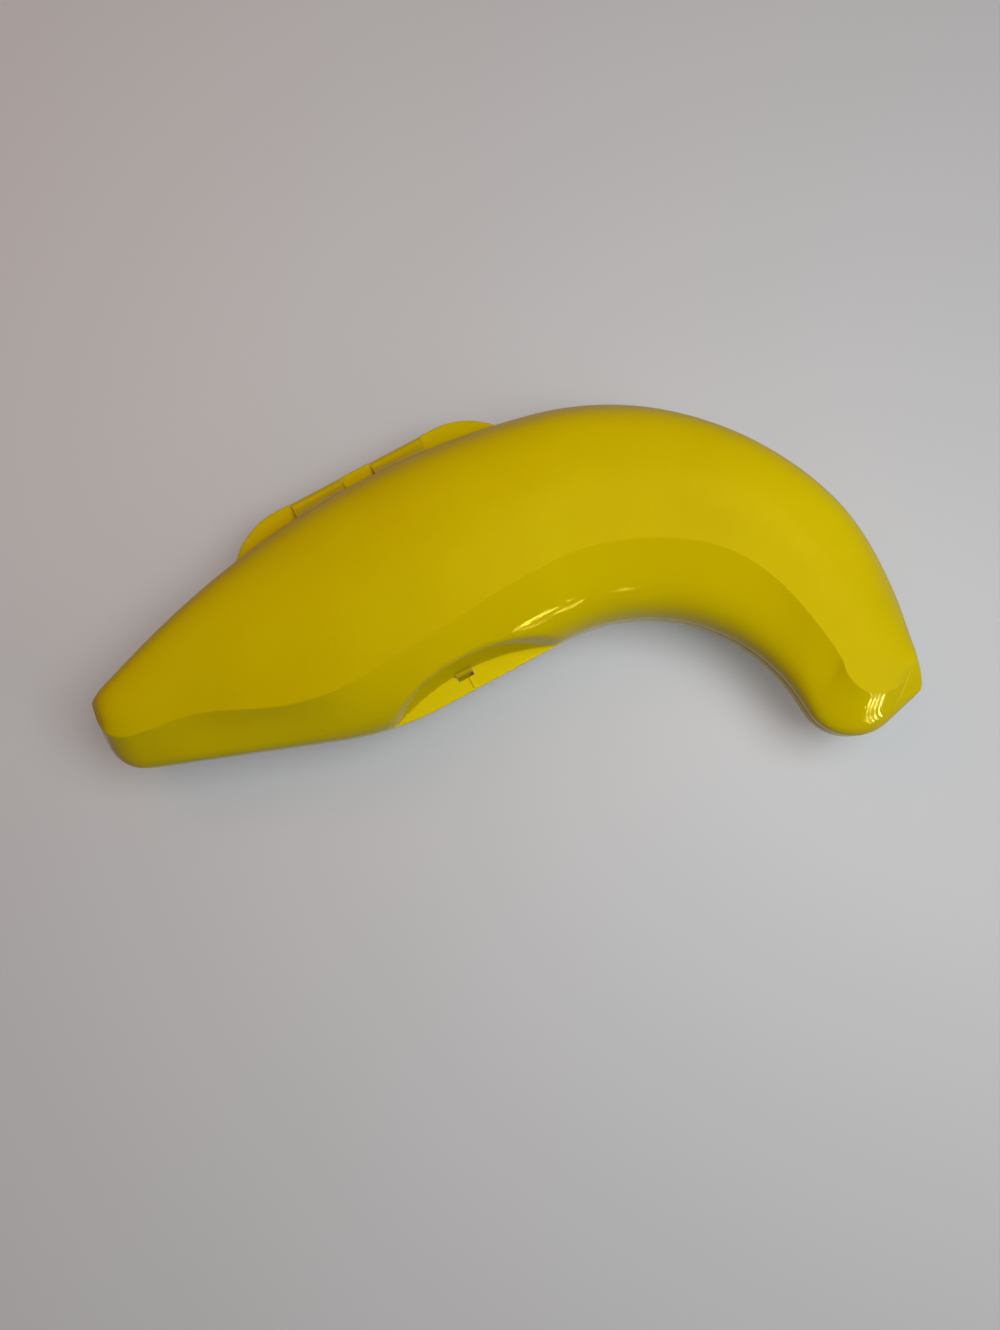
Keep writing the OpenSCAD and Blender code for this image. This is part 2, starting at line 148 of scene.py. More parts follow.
raw_front = np.concatenate([
    stem_round[20:],
    rounded(stem_corner, stem_heel, waist, HEEL_R),
    rounded(stem_heel, waist, bay, WAIST_R),
    rounded(waist, bay, tip_heel, BAY_R),
    rounded(bay, tip_heel, tip_corner, TIP_HEEL_R),
    tip_round[:21]])
raw_back = np.concatenate([
    stem_round[20::-1],
    outer_arc(outer_c, OUTER_R, bearing(stem_round[0] - outer_c), join_a, 400)[1:],
    outer_arc(shoulder_c, SHOULDER_R, join_a, bearing(tip_round[-1] - shoulder_c), 400)[1:],
    tip_round[:19:-1][1:]])
both = np.concatenate([raw_front, raw_back])
middle = (both.max(0) + both.min(0)) / 2
front = measured(raw_front - middle, 1)
back = measured(raw_back - middle, -1)
FRONT_LEN, BACK_LEN = front[0][-1], back[0][-1]
print("front %.1f mm, back %.1f mm" % (FRONT_LEN, BACK_LEN))

# %% [markdown]
# ## How the section changes along the case
# A banana is slim at both ends, so the crown, the crease beside the polished band
# and the tilt of the inner wall all vary along the length. Each is a list of
# knots, share of the length and value, joined by half-cosine steps, which leave
# no kink for a highlight to catch on.

# %% Knots along the length
HALF_H, BAND, WALL, CREASE_DROP, FOOT_CUT = 25.0, 3.6, 2.0, 3.4, 1.0


def mix(a, b, t):
    """The value a share t of the way from a to b."""
    return a + (b - a) * t


def eased(f, *knots):
    """Half-cosine steps through knots: a + (b - a) (1 - cos(pi t)) / 2 in each gap."""
    x, y = np.array(knots, float).T
    i = np.clip(np.searchsorted(x, f, side="right") - 1, 0, len(x) - 2)
    t = np.clip((f - x[i]) / (x[i + 1] - x[i]), 0, 1)
    return mix(y[i], y[i + 1], (1 - np.cos(np.pi * t)) / 2)


def crown(f):
    """Height of a half above the parting plane."""
    return eased(f, (0, 15), (0.06, 15), (0.54, HALF_H), (0.68, HALF_H), (0.95, 15.5), (1, 15.5))


def crease(f):
    """Distance from the inner edge to the crease, averaged over a few per cent of the length."""
    near = np.clip(f + np.linspace(-0.018, 0.018, 9)[:, None], 0, 1)
    return eased(near, (0, 0.5), (0.045, 2.6), (0.1, 9.9), (0.18, 13.2), (0.265, 11.5),
                 (0.42, 18.8), (0.53, 20.8), (0.69, 20.8), (0.86, 13), (0.888, 14.1),
                 (0.925, 11.5), (0.97, 4.5), (1, 3.3)).mean(0)


def tilt(f):
    """Lean of the inner wall, as a share of its rise."""
    return eased(f, (0, 0.2), (0.08, 0.2), (0.16, 0.08), (1, 0.08))


def chamfer(f):
    """Share of the band's rise that lies in the flat part below the crease."""
    return eased(f, (0, 0.6), (0.28, 0.58), (0.42, 0.27), (0.68, 0.27), (0.82, 0.42),
                 (0.885, 0.58), (0.94, 0.36), (1, 0.36))


def shoulder(f):
    """1 opposite the inner curve, where the back wall leans most, and 0 elsewhere."""
    return eased(f, (0, 0), (0.4, 0), (0.62, 1), (0.72, 1), (0.84, 0), (1, 0))


def ending(f):
    """0 along the case and 1 at the tip."""
    return eased(f, (0, 0), (0.8, 0), (0.93, 1), (1, 1))


def closing(w, f):
    """How far a section of width w has risen to the full crown: 1 - (1 - t)^2 with t = w / 36,
    and at the tip, from a half, (3 u - u^3) / 2 with u = w / 75."""
    t, u = np.minimum(1, w / 36), np.minimum(1, w / 75)
    return mix(1 - (1 - t) ** 2, mix(0.5, 1, 1.5 * u - 0.5 * u ** 3), ending(f))


def facing(f):
    """The share of the back that a share f of the front looks at squarely."""
    return f - 0.79 * f * (1 - f) * (0.83 - f)


shares = np.linspace(0, 1, 101)
print("crown %.1f to %.1f mm, crease up to %.1f mm in from the edge"
      % (crown(shares).min(), crown(shares).max(), crease(shares).max()))

# %% [markdown]
# ## The thumb recess
# A shallow cone cuts into the inner side opposite the hinge, so that a thumb can
# reach the tab. A boolean would leave a ragged edge, so the points that fall in
# the cone are pushed out to its wall instead, with a soft corner at its brim.

# %% Recess
HINGE_A, AXIS_OUT, BARREL_R = 28.5, 2.9, 2.5
SCOOP_R, SCOOP_D, SCOOP_A, BRIM = 67.3, 6.6, 10.0, 1.2
SLOPE_Z, SLOPE_RISE, SLOPE_TURN = 8.4, 0.61, 3
hinge_foot = outer_c - middle + OUTER_R * polar(90 + HINGE_A)
hinge_p = hinge_foot + AXIS_OUT * polar(90 + HINGE_A)
along = polar(BAY_A)
catch_at = (hinge_foot - (waist - middle)) @ along
scoop_c = waist - middle + along * catch_at + left(along) * (SCOOP_D - SCOOP_R)


def push(g, k):
    """Soft step: 0 below -k, g above k, and (g + k)^2 / 4k between."""
    return np.where(g <= -k, 0, np.where(g >= k, g, (g + k) ** 2 / (4 * k)))


def scooped(xy, z, inset):
    """Points pushed out of the cone, straight away from its axis."""
    v = xy - scoop_c
    r = np.linalg.norm(v, axis=-1)
    wall = SCOOP_R + inset + np.maximum(0, z - BAND + 1) * np.tan(np.radians(SCOOP_A))
    move = push(wall - r, BRIM)
    return xy + v / r[..., None] * move[..., None]


def tip_slope(xy, inset):
    """Height of the flat slope that bevels the tip end: it rises with the distance from a
    line that is turned a little from the tip cut, and is lower by the wall inside."""
    distance = (xy - (tip_heel - middle)) @ left(polar(TIP_CUT_A + SLOPE_TURN))
    return SLOPE_Z + SLOPE_RISE * distance - inset * np.hypot(1, SLOPE_RISE)


print("hinge at", hinge_p.round(3), "recess centre", scoop_c.round(3))

# %% [markdown]
# ## Stations along the case
# Sections at stations along the front make the surface: one parameter runs along
# the case, the other across it. Even stations would waste points on the straight
# stem, so they lie closer where the front bends, beside the catch and at the tip.

# %% Stations
END_TRIM, END_WALL = 0.04, 4.0
turned = np.abs(np.diff(np.unwrap(np.arctan2(front[2][:, 1], front[2][:, 0]))))
near_catch = np.abs(front[0][1:] - 0.39 * FRONT_LEN) < 42
near_tip = front[0][1:] > 0.88 * FRONT_LEN
per_mm = np.where(near_tip, 1.0, np.where(near_catch, 0.55, 0.25))
density = np.diff(front[0]) * per_mm + np.degrees(turned) / 12
count = np.concatenate([[0], np.cumsum(density)])


def stations(n, inset):
    """Front place, back place, front normal and length share at n stations, which lie
    closer where the front bends. Deeper insets stop further from the pointed ends."""
    e = END_TRIM + END_WALL * inset
    ends = np.interp([e, FRONT_LEN - e], front[0], count)
    s = np.interp(np.linspace(*ends, n), count, front[0])
    f = s / FRONT_LEN
    p, pn = at(front, s)
    q, qn = at(back, facing(f) * BACK_LEN)
    return p + pn * inset, q + qn * inset, pn, f


print("the front turns %.0f degrees in all" % np.degrees(turned.sum()))

# %% [markdown]
# ## One skin of a half shell
# A section rises straight from the rim, rolls over in a cubic Bezier to a flat
# part below the crease, runs over the crowned field and falls down the drafted
# back. The crease gets a small rounding of its own, crisp in the inner curve and
# softer along the stem. The same function gives the inner skin, one wall lower.

# %% Sections


def bezier(a, b, c, d, t):
    """Cubic Bezier of arrays of points a, b, c, d at parameters t, rows by columns."""
    a, b, c, d = (np.stack(v, -1)[:, None] for v in (a, b, c, d))
    t = t[..., None]
    return (a * (1 - t) ** 3 + b * 3 * t * (1 - t) ** 2
            + c * 3 * t * t * (1 - t) + d * t ** 3)


def skin(n, inset, low, soften, counts):
    """Grid of points, stations by section, and the grain of each point. Across the case a
    section is six lines end to end: up the rim, a Bezier roll to the crease, a parabola
    round the crease, a Bezier field to the crown, a Bezier fall to the back, and down the
    rim. The tip slope and the recess then move the points that pass them."""
    p, q, pn, f = stations(n, inset)
    w = np.linalg.norm(q - p, axis=-1)
    e = (q - p) / w[:, None]
    h = mix(BAND, crown(f), closing(w, f)) - inset
    b = np.minimum(BAND, h - 0.5)
    end, square = ending(f), np.maximum(0.5, (e * pn).sum(-1))
    slim = end * (1 - np.minimum(1, w / 45))
    a = np.minimum(crease(f) / square, 0.5 * w)
    zc = mix(b, h, 1 - CREASE_DROP / (HALF_H - BAND))
    top, up, fall, o = mix(a, w, 0.45), zc - b, h - b, np.zeros(n)
    flat = chamfer(f) * up
    rise = [(o, b), (np.minimum(tilt(f) * up, 0.2 * a), b + 0.86 * up - 0.9 * flat),
            (0.42 * a, zc - flat), (a, zc)]
    lean = np.minimum(mix(mix(0.23, 0.32, shoulder(f)), 0.4, slim) * fall, 0.3 * w)
    field = [(a, zc), (a + 0.35 * (top - a), mix(zc, h, 0.3)),
             (top - 0.4 * (top - a), h), (top, h)]
    fallen = [(top, h), (mix(top, w, mix(0.8, 0.55, end)), h - mix(0.05, 0, end) * fall),
              (w - lean, b + mix(0.75 - 0.05 * shoulder(f), 0.5, end) * fall), (w, b)]
    r = np.minimum(soften(f), 0.3 * a)
    ta = r / (3 * np.hypot(0.58 * a, flat) + 1e-9)
    tb = r / (3 * np.hypot(0.35 * (top - a), 0.3 * (h - zc)) + 1e-9)
    lines = [np.linspace(0, 1, k) for k in counts]
    lip = low + (b - low)[:, None] * lines[0][None, :-1]
    upright = np.stack([0 * lip, lip], -1)
    roll = bezier(*rise, (1 - ta)[:, None] * lines[1])
    open_field = bezier(*field, tb[:, None] + (1 - tb)[:, None] * lines[3])
    t = lines[2][None, 1:-1, None]
    corner = np.stack([a, zc], -1)[:, None]
    edge = roll[:, -1:] * (1 - t) ** 2 + corner * 2 * t * (1 - t) + open_field[:, :1] * t * t
    descent = bezier(*fallen, lines[4][None, 1:] * np.ones((n, 1)))
    downright = np.stack([w[:, None] + 0 * lip, lip[:, ::-1]], -1)
    section = np.concatenate([upright, roll, edge, open_field, descent, downright], 1)
    xy = p[:, None] + e[:, None] * section[..., :1]
    z = section[..., 1]
    over = z - tip_slope(xy, inset)
    z = z - push(over, 0.5)
    clear = scooped(xy, np.maximum(z, 0), inset)
    recess = np.clip(np.linalg.norm(clear - xy, axis=-1) / 0.8, 0, 1)
    half = edge.shape[1] // 2
    smooth = counts[0] - 1 + counts[1] + half
    rough = edge.shape[1] - half + counts[3] + counts[4] - 1
    grain = np.concatenate([np.zeros(smooth), np.ones(rough), np.zeros(counts[0] - 1)])
    grain = np.maximum(grain * np.clip(0.5 - over / 0.3, 0, 1), 0.12 * recess)
    return np.concatenate([clear, z[..., None]], -1), grain


def lip_loop(n, inset, z):
    """One line round the rim at an inset and a height: along the front, then back."""
    p, q, _, _ = stations(n, inset)
    xy = scooped(np.concatenate([p, q[::-1]]), np.zeros(2 * n), inset)
    return np.concatenate([xy, np.full((2 * n, 1), z)], -1)


print("wall %.1f mm, crease %.1f mm below the crown" % (WALL, CREASE_DROP))

# %% [markdown]
# ## From grids to meshes
# A grid of points becomes quads with plain index arithmetic. One function lays
# any list of grids into one mesh, so that skins which share an edge also share
# its vertices, and a signed volume tells whether the faces look outwards.

# %% Mesh helper


def quads(ids):
    """Quads between neighbouring rows and columns of an index grid."""
    return np.stack([ids[:-1, :-1], ids[1:, :-1], ids[1:, 1:], ids[:-1, 1:]], -1).reshape(-1, 4)


def lay_mesh(name, points, faces, caps, sharp=40, **marks):
    """Mesh object in metres from points in millimetres, quads and flat caps."""
    a, b, c, d = (points[faces[:, i]] for i in range(4))
    volume = (np.einsum("ij,ij->i", a, np.cross(b, c))
              + np.einsum("ij,ij->i", a, np.cross(c, d))).sum() / 6
    if volume < 0:
        faces, caps = faces[:, ::-1], [cap[::-1] for cap in caps]
    mesh = bpy.data.meshes.new(name)
    mesh.from_pydata((points * MM).tolist(), [], faces.tolist() + [list(map(int, c)) for c in caps])
    for mark, values in marks.items():
        layer = mesh.attributes.new(mark, "FLOAT", "POINT")
        layer.data.foreach_set("value", np.asarray(values, np.float32))
    mesh.shade_smooth()
    mesh.set_sharp_from_angle(angle=math.radians(sharp))
    piece = bpy.data.objects.new(name, mesh)
    bpy.context.scene.collection.objects.link(piece)
    print("%s: %d faces, %.1f cm3" % (name, len(mesh.polygons), abs(volume) / 1000))
    return piece


# %% [markdown]
# ## The lid and the base
# Both shells are the same form. The lid's rim carries a groove and the base's rim
# a tongue that stands in it, and the crown of the base is planed flat so that the
# case does not rock. The rim edges are rounded by a few tenths, as a mould leaves
# them, because that thin edge is the bright line that shows all along the case.
# The rim lines are also painted a little paler, a painted stand-in for the light that passes the
# thin edge.

# %% Half shells
RIM_GAP, EDGE = 0.2, 0.4


def half_round(inset, z, turn_in, turn_z, n=4):
    """A quarter round of the rim from one edge to the next, as (inset, z) pairs."""
    t = np.linspace(0, np.pi / 2, n)
    return [(inset + turn_in * (1 - np.cos(k)), z - turn_z * np.sin(k)) for k in t]


def half_shell(name, n, rim, low_out, low_in, below):
    """Outer skin, rim lines and inner skin joined into one closed mesh. The base is the
    same form turned upside down, with its crown planed at the floor."""
    def crisp(f):
        return eased(f, (0, 0.6), (0.28, 0.6), (0.45, 0.4), (1, 0.4))
    outer, grain = skin(n, 0, low_out, crisp, (5, 34, 9, 22, 40))
    inner, _ = skin(n, WALL, low_in, lambda f: 2.5 + 0 * f, (4, 12, 5, 9, 14))
    lips = [lip_loop(n, i, z) for i, z in rim]
    points = np.concatenate([outer.reshape(-1, 3), *lips, inner.reshape(-1, 3)])
    ids = np.arange(len(points))
    cuts = np.cumsum([outer[..., 0].size] + [2 * n] * len(lips))
    out_ids = ids[:cuts[0]].reshape(outer.shape[:2])
    in_ids = ids[cuts[-1]:].reshape(inner.shape[:2])
    rim_ids = ids[cuts[0]:cuts[-1]].reshape(-1, 2 * n)
    edges = [np.concatenate([g[:, 0], g[::-1, -1]]) for g in (out_ids, in_ids)]
    loops = np.vstack([edges[0], rim_ids, edges[1]])
    loops = np.concatenate([loops, loops[:, :1]], 1)
    faces = np.concatenate([quads(out_ids), quads(loops), quads(in_ids)[:, ::-1]])
    caps = [out_ids[0], out_ids[-1][::-1], in_ids[0][::-1], in_ids[-1]]
    marks = np.concatenate([grain.ravel(), np.zeros(loops[1:-1, 1:].size),
                            np.full(in_ids.size, 0.35)])
    # The rim lines are painted a little paler, standing in for light that passes the thin edge.
    pale = np.concatenate([np.zeros(out_ids.size), np.full(loops[1:-1, 1:].size, 0.4),
                           np.zeros(in_ids.size)])
    if below:
        flat = np.where(ids < cuts[0], HALF_H - FOOT_CUT, HALF_H - FOOT_CUT - WALL)
        points[:, 2] -= push(points[:, 2] - flat, 0.12)
        points[:, 2] *= -1
    points[:, 2] += SEAT
    return lay_mesh(name, points, faces, caps, 40, grain=marks, pale=pale)


groove = RIM_GAP + 1.5
lid_rim = (half_round(0, RIM_GAP + EDGE, EDGE, EDGE)[1:]
           + [(0.78, RIM_GAP), (0.9, RIM_GAP + 0.12), (0.9, groove - 0.12),
              (1.02, groove), (1.8, groove)])
base_rim = (half_round(0, EDGE, EDGE, EDGE)[1:]
            + [(1.08, 0), (1.2, -0.12), (1.2, -0.95), (1.28, -1.13), (1.45, -1.2),
               (1.75, -1.2), (1.92, -1.13), (2.0, -0.95)])
SECTIONS = 520
lid = half_shell("lid_moulding", SECTIONS, lid_rim, RIM_GAP + EDGE, groove + 0.2, False)
base = half_shell("base_moulding", SECTIONS, base_rim, EDGE, 0.0, True)

# %% [markdown]
# ## The hinge
# A flange runs along the outer side of the base. It is cut into three plates, and
# two pins bridge the gaps between them. Each lid barrel is a tube with an open
# mouth underneath, which clips over its pin, and a neck that flows into the lid
# wall. Plates and barrels alike are a closed profile carried along the hinge
# line, with a small chamfer at each end.

# %% Hinge frame and sweep
KNUCKLE, BARREL_L, END_GAP, FLANGE_T, HINGE_DROP = 5.05, 17.9, 0.12, 3.2, 1.5


def on_hinge(x, y, z):
    """Place at x along the hinge line, y out from the case and z above the pin."""
    xy = hinge_p + x[..., None] * polar(HINGE_A) + y[..., None] * polar(90 + HINGE_A)
    return np.concatenate([xy, (z + SEAT - HINGE_DROP)[..., None]], -1)


def carried(name, place, rows, pale=0.0, sharp=35):
    """A closed profile carried through rows of points, with flat ends. place maps the
    rows, stations by profile by three, to the frame of the case."""
    n, m = rows.shape[:2]
    points = place(rows[..., 0], rows[..., 1], rows[..., 2]).reshape(-1, 3)
    ids = np.arange(n * m).reshape(n, m)
    round_ids = np.concatenate([ids, ids[:, :1]], 1)
    caps = [ids[0], ids[-1][::-1]]
    zero = np.zeros(len(points))
    # Besides the grain, each piece carries how much paler its colour is painted, a stand-in for
    # light through thin plastic.
    return lay_mesh(name, points, quads(round_ids), caps, sharp, grain=zero, pale=zero + pale)


hinge_back = (back[1] - hinge_p) @ np.stack([polar(HINGE_A), polar(90 + HINGE_A)], -1)
flange_half, slope = 39.2, np.array([16.8, -20.0])
left_end, right_end = np.array([-flange_half, BARREL_R]), np.array([flange_half, BARREL_R])
flange_edge = np.concatenate([
    [left_end + slope * [-1, 1]],
    rounded(left_end + slope * [-1, 1], left_end, right_end, 24),
    rounded(left_end, right_end, right_end + slope, 24),
    [right_end + slope]])


def wall_line(x):
    """The outer side of the case, in the hinge frame."""
    return np.interp(x, hinge_back[:, 0], hinge_back[:, 1])


def flange_line(x):
    """The outer edge of the flange, in the hinge frame."""
    return np.interp(x, flange_edge[:, 0], flange_edge[:, 1])


print("flange edge %.1f mm beyond the pin, ends rounded" % BARREL_R)

# %% [markdown]
# The three plates share one recipe: at each place along the hinge the section is a
# box from the case wall to the flange edge. Its outer edges are rounded and its
# root underneath is filleted, as a moulder does to keep the corner from cracking.

# %% Flange plates


def plate(name, lo, hi, node):
    """A plate between the case wall and the flange edge: at each x a box with its outer
    edges rounded, sunk a little into the wall, and fillet-rooted underneath."""
    bevel = 0.1
    x = np.concatenate([[lo], np.linspace(lo + bevel, hi - bevel, 72), [hi]])
    trim = np.zeros_like(x)
    trim[[0, -1]] = bevel
    y0 = wall_line(x) - 0.7
    y1 = np.maximum(flange_line(x), y0 + 0.2) - trim
    zt, zb = HINGE_DROP - 0.02 - trim, HINGE_DROP - FLANGE_T + trim
    r = np.minimum(0.7, 0.45 * (y1 - y0))
    k = np.linspace(0, np.pi / 2, 7)
    over = [(y1 - r + r * np.sin(a), zt - r + r * np.cos(a)) for a in k]
    under = [(y1 - r + r * np.cos(a), zb + r - r * np.sin(a)) for a in k]
    root = np.minimum(1.2, 0.6 * (y1 - y0))
    fillet = [(y0 + 0.7 + root * (1 - np.sin(a)), zb - root * (1 - np.cos(a))) for a in k]
    line = [(y0, zt), (mix(y0, y1 - r, 0.96), zt)] + over + under + fillet + [(y0, zb - root)]
    y, z = (np.stack([v[i] + 0 * x for v in line], -1) for i in (0, 1))
    rows = np.stack([x[:, None] + 0 * y, y, z], -1)
    piece = carried(name, on_hinge, rows)
    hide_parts(node)
    return piece


fine = np.linspace(-70, 70, 5601)
inside = fine[flange_line(fine) > wall_line(fine) - 0.3]
barrel_end = KNUCKLE + BARREL_L
plates = [plate("flange_plate_left", inside.min(), -barrel_end, "hinge_flange_left"),
          plate("flange_plate_middle", -KNUCKLE, KNUCKLE, "hinge_knuckle_middle"),
          plate("flange_plate_right", barrel_end, inside.max(), "hinge_flange_right")]
print("flange from %.1f to %.1f mm along the hinge" % (inside.min(), inside.max()))

# %% [markdown]
# The barrel's profile is drawn as one closed line: round the outside of the tube
# from one lip of the mouth, up a hollow curve to the lid wall, down inside the
# wall, back along the neck, round to the other lip, and round the bore.

# %% Barrels


def barrel(name, start, node):
    """A tube with a mouth of 2 mm below and a bore of 1.5 mm, and a neck whose top is a
    Bezier from the tube's crown to the wall."""
    bevel, bore, lip = 0.1, 1.5, np.arcsin(1.0 / BARREL_R)
    lo, hi = start + END_GAP, start + BARREL_L - END_GAP
    x = np.concatenate([[lo], np.linspace(lo + bevel, hi - bevel, 60), [hi]])
    trim = np.zeros_like(x)
    trim[[0, -1]] = bevel
    one, wall = np.ones_like(x), wall_line(x)
    r = BARREL_R - trim
    neck_low, neck_high = HINGE_DROP + RIM_GAP + 0.02 + trim, HINGE_DROP + 4.6 - trim
    outside = np.linspace(-np.pi / 2 + lip, np.pi / 2 - 0.1, 26)
    y = [r * np.cos(a) for a in outside]
    z = [r * np.sin(a) for a in outside]
    t = np.linspace(0, 1, 14)[1:, None]
    a0 = (r * np.cos(outside[-1]), r * np.sin(outside[-1]))
    a1 = (a0[0] - 1.1, a0[1] + 0.12 * one)
    a2, a3 = (wall + 0.25, neck_high - 1.6), (wall - 0.5, neck_high)
    for out, i in ((y, 0), (z, 1)):
        out += list(a0[i] * (1 - t) ** 3 + a1[i] * 3 * t * (1 - t) ** 2
                    + a2[i] * 3 * t * t * (1 - t) + a3[i] * t ** 3)
    y += [wall - 1.2, wall - 1.2]
    z += [neck_high, neck_low]
    join = np.arcsin((HINGE_DROP + RIM_GAP + 0.02) / BARREL_R)
    rest = np.linspace(np.pi - join, 3 * np.pi / 2 - lip, 18)
    y += [r * np.cos(a) for a in rest]
    z += [np.minimum(r * np.sin(a), neck_low) for a in rest]
    mouth = np.arcsin(1.0 / (bore + 0.15))
    hollow = np.linspace(-np.pi / 2 - mouth, -np.pi / 2 - 2 * np.pi + mouth, 30)
    b = bore + trim
    y += [b * np.cos(a) for a in hollow]
    z += [b * np.sin(a) for a in hollow]
    y, z = np.stack([v * one for v in y], -1), np.stack([v * one for v in z], -1)
    piece = carried(name, on_hinge, np.stack([x[:, None] + 0 * y, y, z], -1))
    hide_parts(node)
    return piece


barrels = [barrel("barrel_left", -barrel_end, "hinge_barrel_left"),
           barrel("barrel_right", KNUCKLE, "hinge_barrel_right")]

# %% [markdown]
# ## The catch
# The tab is a flat plate that fills the thumb recess of the base, level with its
# rim. It has a slot beside the recess wall and a fine rib from the slot to its
# edge. Each row of the tab is a box section; in the rows that cross the slot the
# section simply stops short, so slot and plate stay one closed surface.

# %% Thumb tab
TAB_T, TAB_HALF, SLOT_W, SLOT_D = 2.4, 33.4, 5.6, 2.2
RIB_W, RIB_H, RIB_AT = 0.6, 0.4, -0.9
catch_out, catch_side = polar(90 + BAY_A), polar(180 + BAY_A)


def on_catch(x, y, z):
    """Place at x from the recess centre towards the case, y across, z above the seat."""
    xy = scoop_c + x[..., None] * catch_out + y[..., None] * catch_side
    return np.concatenate([xy, (z + SEAT)[..., None]], -1)


near = (front[1] - scoop_c) @ np.stack([catch_out, catch_side], -1)
near = near[np.abs(near[:, 1]) < 45]
near = near[np.argsort(near[:, 1])]
slot = SLOT_W / 2
y = np.concatenate([np.linspace(-TAB_HALF, -slot - 0.05, 60),
                    np.linspace(-slot + 0.05, slot - 0.05, 41),
                    np.linspace(slot + 0.05, TAB_HALF, 60)])
x0 = np.interp(y, near[:, 1], near[:, 0])
arch = np.sqrt(SCOOP_R ** 2 - y ** 2)
x1 = np.where(np.abs(y) < slot, SCOOP_R - SLOT_D, x0 + push(arch - x0, BRIM) + 0.6)
r, k = np.minimum(0.5, 0.4 * (x1 - x0)), np.linspace(0, np.pi / 2, 6)
rib = RIB_H * np.clip(1.5 - np.abs(y - RIB_AT) / (0.5 * RIB_W), 0, 1)
rib = np.where(np.abs(y) < slot, rib, 0)
line = ([(x0 + r - r * np.sin(a), -TAB_T + r - r * np.cos(a)) for a in k]
        + [(x0 + r - r * np.cos(a), -0.02 - r + r * np.sin(a)) for a in k]
        + [(mix(x0 + r, x1, 0.06), -0.02 + 0.9 * rib), (mix(x0 + r, x1, 0.1), -0.02 + rib),
           (x1 - 0.25, -0.02 + rib), (x1 - 0.12, -0.02 + 0.6 * rib), (x1, -0.14), (x1, -TAB_T)])
cx, cz = (np.stack([v[i] + 0 * y for v in line], -1) for i in (0, 1))
# The tab's colour is painted paler, standing in for light that passes the thin plate.
tab = carried("thumb_tab", on_catch, np.stack([cx, y[:, None] + 0 * cx, cz], -1), pale=1.0)
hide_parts("catch_tab")

# %% [markdown]
# The hook hangs from the recess wall of the lid, passes the slot and ends in a
# small barb. It only shows when the lid is open, but it is what holds the case
# shut, so its outline is rounded and its barb is kept.

# %% Hook
hook_w, hook_x = SLOT_W - 0.3, SCOOP_R - 1.2
outline = np.array([
    (SCOOP_R + 0.9, 0.25), (SCOOP_R + 0.9, 2.6), (SCOOP_R, 2.5), (hook_x, 0.45),
    (hook_x, -TAB_T - 0.25), (SCOOP_R - 2.1, -TAB_T - 0.45),
    (SCOOP_R - 2.1, -TAB_T - 0.9), (hook_x + 0.2, -TAB_T - 1.8),
    (hook_x + 0.6, -TAB_T - 1.8), (SCOOP_R - 0.4, -TAB_T - 1.4), (SCOOP_R - 0.4, 0.25)])


def softened(points, share=0.22, rounds=3):
    """Corner cutting: each edge is replaced by its inner part, which rounds a polygon."""
    for _ in range(rounds):
        following = np.roll(points, -1, 0)
        points = np.stack([mix(points, following, share), mix(points, following, 1 - share)], 1)
        points = points.reshape(-1, 2)
    return points


outline = softened(outline)
centre = outline.mean(0)
across = np.concatenate([[-1], np.linspace(-0.94, 0.94, 9), [1]]) * hook_w / 2
shrink = np.ones(11)
shrink[[0, -1]] = 0.84
shape = centre + (outline - centre) * shrink[:, None, None]
hook = carried("catch_hook_barbed", on_catch,
               np.stack([shape[..., 0], across[:, None] + 0 * shape[..., 0], shape[..., 1]], -1))
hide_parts("catch_hook")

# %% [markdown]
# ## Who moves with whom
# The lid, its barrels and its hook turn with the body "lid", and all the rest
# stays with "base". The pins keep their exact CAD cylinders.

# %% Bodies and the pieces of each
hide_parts("lid_shell")
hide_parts("base_shell")
for piece in (lid, hook, *barrels):
    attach(piece, "lid")
for piece in (base, tab, *plates):
    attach(piece, "base")
pins = [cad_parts[n] for n in ("hinge_pin_left", "hinge_pin_right")]
lid_pieces, base_pieces = (lid, hook, *barrels), (base, tab, *plates, *pins)
print("on the lid:", len(lid_pieces), "on the base:", len(base_pieces))

# %% [markdown]
# ## Moulded polypropylene
# The resin is dyed through, so the colour is in the body and only the surface
# changes: the mould is polished along the band and blasted with grit on the crown,
# which leaves a sand-like grain about half a millimetre across. Polypropylene has
# an IOR of about 1.49, a waxy sheen and faint flow marks. Light passes through it
# where it is thin, and the rim edges and the thumb tab are painted paler to stand in for that
# light.

# %% Colour and node helpers


def linear(hex_colour):
    """sRGB hex to linear RGBA: c / 12.92 below 0.04045, else ((c + 0.055) / 1.055)^2.4."""
    c = np.array([int(hex_colour[i:i + 2], 16) for i in (1, 3, 5)]) / 255
    c = np.where(c <= 0.04045, c / 12.92, ((c + 0.055) / 1.055) ** 2.4)
    return (*c, 1.0)


def add(tree, kind, inputs=None, **settings):
    """One shader node with its settings; an input is a value or another node's output."""
    made = tree.nodes.new(kind)
    for key, value in settings.items():
        setattr(made, key, value)
    for key, value in (inputs or {}).items():
        if isinstance(value, bpy.types.NodeSocket):
            tree.links.new(value, made.inputs[key])
        else:
            made.inputs[key].default_value = value
    return made


print("full yellow, linear:", np.round(linear("#ffff00"), 3))

# %% [markdown]
# The eye reads the plastic from its edges between dull and glossy: a soft even
# field, then a band that mirrors lamps as thin streaks. So one material carries
# both, and the grain attribute of the mesh drives its roughness and its bump.

# %% Polypropylene
GRIT, FLOW, RIPPLE = 0.5 * MM, 45 * MM, 9 * MM  # blasted grain, flow marks, sink marks
GRIT_DEEP, RIPPLE_DEEP = 0.05 * MM, 0.02 * MM
POLISHED, BLASTED = 0.05, 0.46
# The third yellow is a painted paler tone, standing in for light that passes thin plastic.
YELLOW, DEEP, PAINTED_LIGHT_YELLOW = "#c6b000", "#c0a800", "#dcc208"


